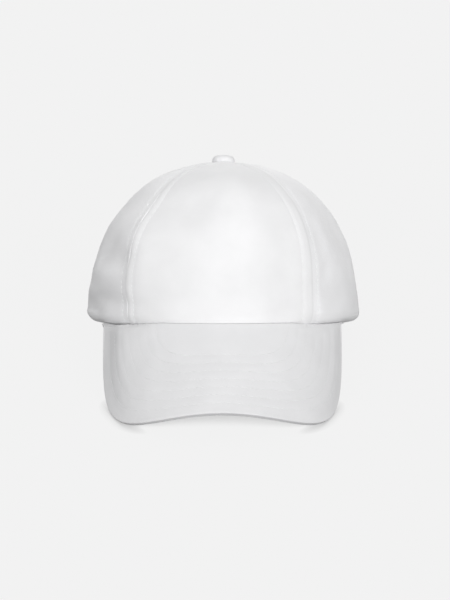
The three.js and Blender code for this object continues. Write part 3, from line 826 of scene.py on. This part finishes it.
def peak_relief(across, along, seed):
    """Height of the peak's cloth: stitched rows, the puff between them and small uneven gathers."""
    inset = peak_inset(across, along)
    row = np.clip(np.round((inset - PEAK_FIRST_ROW) / PEAK_ROW_PITCH), 0, PEAK_ROWS - 1)
    distance = inset - PEAK_FIRST_ROW - row * PEAK_ROW_PITCH
    flat = np.stack([across, along, np.zeros_like(across)], -1)
    gathers = ripples(flat * [1, PEAK_GATHER_SQUEEZE, 1], PEAK_GATHER_SIZE, seed)
    gathers += PEAK_BROAD_SHARE * ripples(flat, PEAK_BROAD_SIZE, seed + 1)
    relief = -PEAK_DIP * bell(distance, PEAK_DIP_SPREAD)
    relief += PEAK_PUFF * (1 - bell(distance, PEAK_PUFF_SPREAD))
    relief *= smoothstep(inset, 0, PEAK_FIRST_ROW)
    last = PEAK_FIRST_ROW + (PEAK_ROWS - 1) * PEAK_ROW_PITCH
    sewn = smoothstep(inset, *PEAK_SEWN_START) * (1 - smoothstep(inset, last, last + PEAK_SEWN_END))
    return relief + PEAK_GATHER * gathers * (PEAK_GATHER_PLAIN + sewn)


def peak_grid():
    """Flat coordinates and lift of the peak's fine grid."""
    end = math.radians(PEAK_END_ANGLE)
    u = np.linspace(-1, 1, PEAK_COLUMNS)
    v = np.linspace(0, 1, PEAK_LINES)[:, None]
    inner = peak_inner_edge(u * end)
    outer = peak_outline(u * PEAK_CORNER)
    side = np.where(u < 0, -1.0, 1.0)
    root = peak_inner_edge(side * end)
    edge = peak_outline(side * mix(math.pi / 2, PEAK_CORNER, v))
    grid = []
    for k in range(2):
        from_side = edge[k].copy()
        from_side[0] = root[k]
        straight = mix(inner[k], outer[k], v)
        tip = mix(root[k], edge[k][-1], v)
        grid.append(straight + np.abs(u) ** 3 * (from_side - tip))
    return grid[0], grid[1], inner[2] * (1 - v) ** 2


def peak_lift(across, along):
    """Lift near the rim at flat spots, read off the inner edge straight behind them."""
    end = math.radians(PEAK_END_ANGLE)
    inner_across, inner_along, lift = peak_inner_edge(np.linspace(-end, end, 300))
    start = np.interp(across, inner_across, inner_along)
    share = np.clip((along - start) / (PEAK_LENGTH - start), 0, 1)
    return np.interp(across, inner_across, lift) * (1 - share) ** 2, along - start


def peak():
    across, along, lift = peak_grid()
    up = peak_up(across)
    square = (1 - (1 - np.linspace(0, 1, PEAK_LINES)[:, None]) ** 3)[..., None]
    down = up * (np.array([1, 1, 0]) * square + np.array([0, 0, 1]))
    from_rim = np.hypot(across - across[0], along - along[0])
    shoulder = peak_shoulder(across, along, from_rim)
    plain = peak_top(across, along) + (np.array([0, 0, 1.0]) * lift[..., None] + up * shoulder[..., None])
    column_angles = np.linspace(-PEAK_END_ANGLE, PEAK_END_ANGLE, PEAK_COLUMNS)
    ends = smoothstep(np.abs(column_angles), *PEAK_TUCK_ANGLES)
    tuck = PEAK_TUCK * ends * (1 - smoothstep(from_rim, 0, PEAK_TUCK_WIDTH))
    top = plain + up * (peak_relief(across, along, PEAK_TOP_SEED) - tuck)[..., None]
    under = peak_relief(across, along, PEAK_UNDER_SEED)
    bottom = plain - down * PEAK_THICKNESS - up * under[..., None]
    on_rim = border_loop(PEAK_LINES, PEAK_COLUMNS) < PEAK_COLUMNS
    bulge = np.where(on_rim, 0.0, PEAK_EDGE_ROUND)
    flat = np.stack([across, along], -1)
    return slab("peak_cloth", top, bottom, flat, bulge, strips=9, groove=PEAK_EDGE_GROOVE,
                slot="peak_cloth", node="peak")


def peak_rows():
    """Rows of stitches on the peak's top and on its underside."""
    lines = []
    for row in range(PEAK_ROWS):
        inset = PEAK_FIRST_ROW + row * PEAK_ROW_PITCH
        across, along = peak_outline(np.linspace(-math.pi / 2, math.pi / 2, 1600), inset)
        side = np.linspace(PEAK_ROW_BACK, PEAK_CORNER_START, PEAK_BACK_SPOTS + 1)[:-1]
        ends = [np.full(PEAK_BACK_SPOTS, end) for end in (across[0], across[-1])]
        across = np.concatenate([ends[0], across, ends[1]])
        along = np.concatenate([side, along, side[::-1]])
        lift, clear = peak_lift(across, along)
        keep = clear > PEAK_ROW_CLEAR
        across, along, lift = across[keep], along[keep], lift[keep]
        up = peak_up(across)
        middle = peak_top(across, along) + np.array([0, 0, 1.0]) * lift[:, None]
        middle += up * peak_shoulder(across, along, clear[keep])[:, None]
        relief = peak_relief(across, along, PEAK_TOP_SEED)
        lines.append((middle + up * relief[:, None], up))
        under = PEAK_THICKNESS + peak_relief(across, along, PEAK_UNDER_SEED)
        lines.append((middle - up * under[:, None], -up))
    return stitches("peak_stitches", lines, seed=9, slot="peak_cloth")


# Button, sweatband and strap


def button():
    """Cloth-covered button with the cloth's soft gathers at its edge."""
    turn = np.linspace(0, 2 * math.pi, BUTTON_SIDES, endpoint=False)
    climb = np.linspace(BUTTON_LOWEST, 1, BUTTON_STEPS)[:, None] * math.pi / 2
    edge = np.clip(1 - np.abs(climb) / BUTTON_FOLD_REACH, 0, 1)
    folds = np.sin(turn * BUTTON_FOLDS + np.sin(turn * BUTTON_FOLD_DRIFT))
    gather = 1 + BUTTON_FOLD_DEPTH * edge * folds
    radius = BUTTON_RADIUS * np.maximum(np.cos(climb), 1e-4) ** BUTTON_SIDE_POWER * gather
    share = np.sign(np.sin(climb)) * np.abs(np.sin(climb)) ** BUTTON_TOP_POWER
    height = np.maximum(BUTTON_RISE + (BUTTON_HEIGHT - BUTTON_RISE) * share, BUTTON_FOOT) + 0 * turn
    up = unit(np.array([0, RIM_SLOPE, 1]))
    side = np.array([1.0, 0, 0])
    forward = np.cross(up, side)
    level = np.full(2, math.pi / 2 - 2e-3)
    centre = smooth_crown(np.array([0, math.pi]), level).mean(0)
    around = np.cos(turn)[:, None] * side + np.sin(turn)[:, None] * forward
    points = centre + radius[..., None] * around + height[..., None] * up
    index = np.arange(BUTTON_STEPS * BUTTON_SIDES).reshape(BUTTON_STEPS, BUTTON_SIDES)
    a, b = index[:-1], index[1:]
    faces = np.stack([a, np.roll(a, -1, 1), np.roll(b, -1, 1), b], -1).reshape(-1, 4).tolist()
    faces += [index[0, ::-1].tolist(), index[-1].tolist()]
    coords = np.stack([np.cos(turn) * radius, np.sin(turn) * radius], -1).reshape(-1, 2)
    return new_object("button_cloth", points.reshape(-1, 3), faces, coords, "button_cloth", "button")


def sweatband():
    end = math.pi - arch_angle(0.0) - span_angle(STRAP_HIDDEN, math.pi / 2, 0.0) - math.radians(1)
    angle = np.linspace(-end, end, BAND_COLUMNS)[None, :] + np.zeros((BAND_LINES, 1))
    height = np.linspace(BAND_FOOT, BAND_HEIGHT, BAND_LINES)[:, None] + 0 * angle
    level = level_at(height)
    lean = BAND_LEAN * smoothstep(height, 0, BAND_LEAN_HEIGHT) + dent_depth(angle, height)
    points = smooth_crown(angle, level)
    normal = crown_normal(angle, level)
    wave = BAND_WAVE * ripples(points, BAND_WAVE_SIZE, 71) * smoothstep(height, BAND_WAVE_FOOT, BAND_HEIGHT)
    row = sum(BAND_ROW_RISE * bell(height - spot, BAND_ROW_SPREAD) for spot in BAND_ROWS)
    seat = WALL + BAND_GAP + lean + wave
    outer = points - normal * seat[..., None]
    inner = points - normal * (seat + BAND_THICKNESS - row)[..., None]
    return slab("sweatband_cloth", outer, inner, weave_coords(points), BAND_EDGE_ROUND,
                slot="band_cloth", node="sweatband")


def strap_half(from_end):
    """Half of the strap's height, which falls away in its round end."""
    return STRAP_HEIGHT / 2 * np.sqrt(np.maximum(from_end * (2 - from_end), STRAP_END_LEAST))


def strap_tab(side, overlap_depth, word):
    """One tab of the strap, and its two lines of stitches."""
    start = arch_angle(0.0) + span_angle(STRAP_HIDDEN, math.pi, 0.0)
    end = -span_angle(STRAP_OVERLAP / 2, math.pi, 0.0)
    end_round = span_angle(STRAP_HEIGHT / 2, math.pi, 0.0)
    angle = mix(start, end, np.linspace(0, 1, STRAP_COLUMNS) ** STRAP_COLUMN_EASE)[None, :]
    angle = angle + np.zeros((STRAP_LINES, 1))
    half_height = strap_half(np.minimum((angle - end) / end_round, 1))
    share = np.linspace(-1, 1, STRAP_LINES)[:, None]
    height = STRAP_MIDDLE + half_height * share
    joined = smoothstep(angle, -end, arch_angle(0.0))
    depth = mix(overlap_depth, STRAP_SEAT, joined)
    level = level_at(height)
    around = math.pi - side * angle
    points = smooth_crown(around, level)
    normal = crown_normal(around, level)
    rim = half_height * (1 - np.abs(share))
    relief = STRAP_RELIEF * (smoothstep(rim, 0, STRAP_HEM) - bell(rim - STRAP_ROW, STRAP_ROW_SPREAD))
    outer = points - normal * (depth - relief)[..., None]
    inner = points - normal * (depth + STRAP_THICKNESS)[..., None]
    tab = slab(f"strap_{word}_cloth", outer, inner, weave_coords(points), STRAP_EDGE_ROUND,
               slot="strap_cloth", node=f"strap_{word}")
    inset = 1 - STRAP_ROW / (STRAP_HEIGHT / 2)
    line = []
    for edge in (-inset, inset):
        spots = mix(start, end + end_round * STRAP_ROW_END, np.linspace(0, 1, 300))
        half = strap_half(np.minimum((spots - end) / end_round, 1))
        level = level_at(STRAP_MIDDLE + half * edge)
        around = math.pi - side * spots
        under = mix(overlap_depth, STRAP_SEAT, smoothstep(spots, -end, arch_angle(0.0)))
        normal = crown_normal(around, level)
        points = smooth_crown(around, level) - normal * (under + STRAP_THREAD_SINK)[:, None]
        line.append((points, normal))
    return tab, line


# Materials


# What turns the length of a wave into its texture scale, for bands and for slanting bands
BAND_SCALE = math.pi / 10
DIAGONAL_SCALE = math.pi / 5 / math.sqrt(2)
YARN_SHARE = 0.62


def new_material(name):
    """Plain material with its nodes, links and shader."""
    material = bpy.data.materials.new(name)
    material.use_nodes = True
    nodes, links = material.node_tree.nodes, material.node_tree.links
    return material, nodes, links, nodes["Principled BSDF"]


def tuned(node, **values):
    """The node with its inputs set; an underscore in a name stands for a space."""
    for name, value in values.items():
        node.inputs[name.replace("_", " ")].default_value = value
    return node


def cloth(name, colour, pitch, bump):
    """Cotton twill: fine slanting ribs, loose fibres, a faint sheen and slight unevenness of tone."""
    material, nodes, links, shader = new_material(name)
    tuned(shader, Roughness=0.88, Specular_IOR_Level=0.25, Sheen_Weight=0.35, Sheen_Roughness=0.55)
    place = nodes.new("ShaderNodeUVMap")
    place.uv_map = "weave"
    ribs = nodes.new("ShaderNodeTexWave")
    ribs.bands_direction = "DIAGONAL"
    tuned(ribs, Scale=DIAGONAL_SCALE / (pitch * MM), Distortion=0.6, Detail=1.5, Detail_Scale=2.0)
    yarns = nodes.new("ShaderNodeTexWave")
    yarns.bands_direction = "X"
    tuned(yarns, Scale=BAND_SCALE / (YARN_SHARE * pitch * MM), Distortion=0.8)
    fibres = tuned(nodes.new("ShaderNodeTexNoise"), Scale=2600, Detail=3)
    tone = tuned(nodes.new("ShaderNodeTexNoise"), Scale=55, Detail=3)
    for texture in (ribs, yarns, fibres):
        links.new(place.outputs["UV"], texture.inputs["Vector"])
    where = nodes.new("ShaderNodeTexCoord")
    links.new(where.outputs["Object"], tone.inputs["Vector"])
    weave = nodes.new("ShaderNodeMath")
    weave.operation = "MULTIPLY_ADD"
    weave.inputs[1].default_value = YARN_RELIEF
    links.new(yarns.outputs["Fac"], weave.inputs[0])
    links.new(ribs.outputs["Fac"], weave.inputs[2])
    surface = nodes.new("ShaderNodeMath")
    surface.operation = "MULTIPLY_ADD"
    surface.inputs[1].default_value = FIBRE_RELIEF
    links.new(fibres.outputs["Fac"], surface.inputs[0])
    links.new(weave.outputs["Value"], surface.inputs[2])
    relief = tuned(nodes.new("ShaderNodeBump"), Strength=bump, Distance=WEAVE_DEPTH * MM)
    links.new(surface.outputs["Value"], relief.inputs["Height"])
    links.new(relief.outputs["Normal"], shader.inputs["Normal"])
    ramp = nodes.new("ShaderNodeValToRGB")
    dark, light = ramp.color_ramp.elements
    dark.position, dark.color = 0.3, (*[DARK_TONE * c for c in colour], 1)
    light.position, light.color = 0.7, (*colour, 1)
    links.new(tone.outputs["Fac"], ramp.inputs["Fac"])
    links.new(ramp.outputs["Color"], shader.inputs["Base Color"])
    return material


def thread(name, colour):
    """Spun thread: a soft shine and fine twist."""
    material, nodes, links, shader = new_material(name)
    tuned(shader, Base_Color=(*colour, 1), Roughness=0.6, Sheen_Weight=0.2)
    where = nodes.new("ShaderNodeTexCoord")
    twist = tuned(nodes.new("ShaderNodeTexNoise"), Scale=4000)
    relief = tuned(nodes.new("ShaderNodeBump"), Strength=0.4, Distance=TWIST_DEPTH * MM)
    links.new(where.outputs["Object"], twist.inputs["Vector"])
    links.new(twist.outputs["Fac"], relief.inputs["Height"])
    links.new(relief.outputs["Normal"], shader.inputs["Normal"])
    return material


def dress(material, *pieces):
    for piece in pieces:
        piece.data.materials.clear()
        piece.data.materials.append(material)


# Studio


def studio():
    """Pale paper under an even sky and three broad lights. The paper keeps its light off the cap, as a sweep
    set well below and behind would."""
    mesh = bpy.data.meshes.new("floor")
    corners = [(x * FLOOR_HALF, y * FLOOR_HALF, 0) for x, y in ((-1, -1), (1, -1), (1, 1), (-1, 1))]
    mesh.from_pydata(corners, [], [(0, 1, 2, 3)])
    floor = bpy.data.objects.new("floor", mesh)
    bpy.context.scene.collection.objects.link(floor)
    dress(floor_paper(), floor)
    world = bpy.data.worlds.new("studio")
    bpy.context.scene.world = world
    world.use_nodes = True
    nodes, links = world.node_tree.nodes, world.node_tree.links
    sky = tuned(nodes["Background"], Color=(1, 1, 1, 1), Strength=SKY)
    wall = tuned(nodes.new("ShaderNodeBackground"), Color=(PAPER, PAPER, PAPER, 1))
    ray = nodes.new("ShaderNodeLightPath")
    choice = nodes.new("ShaderNodeMixShader")
    links.new(ray.outputs["Is Camera Ray"], choice.inputs["Fac"])
    links.new(sky.outputs["Background"], choice.inputs[1])
    links.new(wall.outputs["Background"], choice.inputs[2])
    links.new(choice.outputs["Shader"], nodes["World Output"].inputs["Surface"])
    for light in SUNS:
        sun(*light)


def open_share(nodes, links, limits):
    """How open the floor lies to one direction, mapped from 0 at the first limit to 1 at the second; it sets
    painted shadow on the paper.
    """
    seen = tuned(nodes.new("ShaderNodeAmbientOcclusion"), Distance=SHELTER_REACH)
    share = tuned(nodes.new("ShaderNodeMapRange"), From_Min=limits[0], From_Max=limits[1])
    links.new(seen.outputs["AO"], share.inputs["Value"])
    return seen, share


def floor_paper():
    """Paper that glows, takes a faint real shadow and gives the cap little light back. Its glow is even away
    from the cap; ambient occlusion dims it, a painted contact shadow near the cap and a painted shadow under
    the peak.
    """
    material, nodes, links, paper = new_material("floor_paper")
    shade = (PAPER_SHADE, PAPER_SHADE, PAPER_SHADE, 1)
    tuned(paper, Base_Color=shade, Roughness=1.0, Specular_IOR_Level=0.0)
    # Painted shadow: the glow colour darkens with ambient occlusion near the cap and under the peak
    near = tuned(nodes.new("ShaderNodeAmbientOcclusion"), Distance=CONTACT_REACH)
    painted_shadow = nodes.new("ShaderNodeMix")
    painted_shadow.data_type = "RGBA"
    tuned(painted_shadow, Factor=PAINTED_CONTACT_SHARE)
    above, open_above = open_share(nodes, links, SHELTER_OPEN)
    ahead, open_ahead = open_share(nodes, links, SHELTER_FRONT)
    elevation = math.radians(SHELTER_ELEVATION)
    forward = tuned(nodes.new("ShaderNodeCombineXYZ"), Y=-math.cos(elevation), Z=math.sin(elevation))
    links.new(forward.outputs["Vector"], ahead.inputs["Normal"])
    tuned(open_ahead, To_Min=PAINTED_SHELTER_TONE)
    shelter = nodes.new("ShaderNodeMath")
    shelter.operation = "MAXIMUM"
    links.new(open_above.outputs["Result"], shelter.inputs[0])
    links.new(open_ahead.outputs["Result"], shelter.inputs[1])
    links.new(shelter.outputs["Value"], painted_shadow.inputs[6])
    links.new(near.outputs["Color"], painted_shadow.inputs[7])
    links.new(painted_shadow.outputs[2], paper.inputs["Emission Color"])
    glow = PAPER - PAPER_SHADE * (SKY + sum(k * math.sin(math.radians(e)) for _, _, e, k, _ in SUNS))
    tuned(paper, Emission_Strength=glow)
    dull = tuned(nodes.new("ShaderNodeBsdfDiffuse"), Color=(PAPER_BOUNCE, PAPER_BOUNCE, PAPER_BOUNCE, 1))
    ray = nodes.new("ShaderNodeLightPath")
    choice = nodes.new("ShaderNodeMixShader")
    links.new(ray.outputs["Is Camera Ray"], choice.inputs["Fac"])
    links.new(dull.outputs["BSDF"], choice.inputs[1])
    links.new(paper.outputs["BSDF"], choice.inputs[2])
    links.new(choice.outputs["Shader"], nodes["Material Output"].inputs["Surface"])
    return material


def sun(name, azimuth, elevation, strength, spread):
    """A broad even light that gives a white matt face turned to it this brightness. Azimuth 0 comes from the
    front, and 90 from the wearer's left."""
    light = bpy.data.lights.new(name, "SUN")
    light.energy = strength * math.pi
    light.angle = math.radians(spread)
    lamp = bpy.data.objects.new(name, light)
    bpy.context.scene.collection.objects.link(lamp)
    a, e = math.radians(azimuth), math.radians(elevation)
    towards = Vector((math.sin(a) * math.cos(e), -math.cos(a) * math.cos(e), math.sin(e)))
    lamp.rotation_mode = "QUATERNION"
    lamp.rotation_quaternion = towards.to_track_quat("Z", "Y")


def camera():
    back = np.array([0, -math.cos(VIEW_ELEVATION), math.sin(VIEW_ELEVATION)])
    right = np.array([1.0, 0, 0])
    up = np.cross(right, -back)
    target = np.array([0, 0, VIEW_HEIGHT])
    place = Vector(placed(target + VIEW_DISTANCE * back))
    aim = Vector(placed(target + AIM_RIGHT * right - AIM_DOWN * up))
    lens = bpy.data.cameras.new("camera")
    lens.lens = FOCAL_LENGTH
    lens.sensor_width = 36
    view = bpy.data.objects.new("camera", lens)
    view.location = place
    view.rotation_mode = "QUATERNION"
    view.rotation_quaternion = (aim - place).to_track_quat("-Z", "Y")
    bpy.context.scene.collection.objects.link(view)
    bpy.context.scene.camera = view


def main():
    crown_twill = cloth("crown_twill", CROWN_WHITE, TWILL_PITCH, TWILL_RELIEF)
    # Painted shade: the front, button and peak cloths are darker copies of the crown's white
    shaded_front_twill = cloth("shaded_front_twill", FRONT_SHADED_WHITE, TWILL_PITCH, FRONT_RELIEF)
    shaded_button_twill = cloth("shaded_button_twill", BUTTON_SHADED_WHITE, TWILL_PITCH, TWILL_RELIEF)
    shaded_peak_twill = cloth("shaded_peak_twill", PEAK_SHADED_WHITE, TWILL_PITCH, TWILL_RELIEF)
    band_cotton = cloth("band_cotton", BAND_WHITE, BAND_PITCH, TWILL_RELIEF)
    sewing = thread("sewing_thread", SEWING_WHITE)
    # Painted shade: the peak's thread takes a darker copy of the sewing thread's white
    shaded_peak_sewing = thread("peak_thread_shaded", PEAK_SHADED_SEWING_WHITE)
    shapes = panels()
    for panel in shapes.values():
        dress(shaded_front_twill if panel.name == "front_panel" else crown_twill, crown_panel(panel))
    dress(sewing, crown_stitches(shapes))
    dress(shaded_peak_sewing, peak_rows())
    dress(shaded_peak_twill, peak())
    dress(shaded_button_twill, button())
    dress(band_cotton, sweatband())
    left, left_line = strap_tab(1, STRAP_SEAT, "left")
    right, right_line = strap_tab(-1, STRAP_SEAT + STRAP_THICKNESS + STRAP_GAP, "right")
    dress(crown_twill, left, right)
    dress(sewing, stitches("strap_stitches", left_line + right_line, seed=13, slot="strap_cloth"))
    studio()
    camera()
    bpy.context.scene.view_settings.view_transform = "Standard"


main()
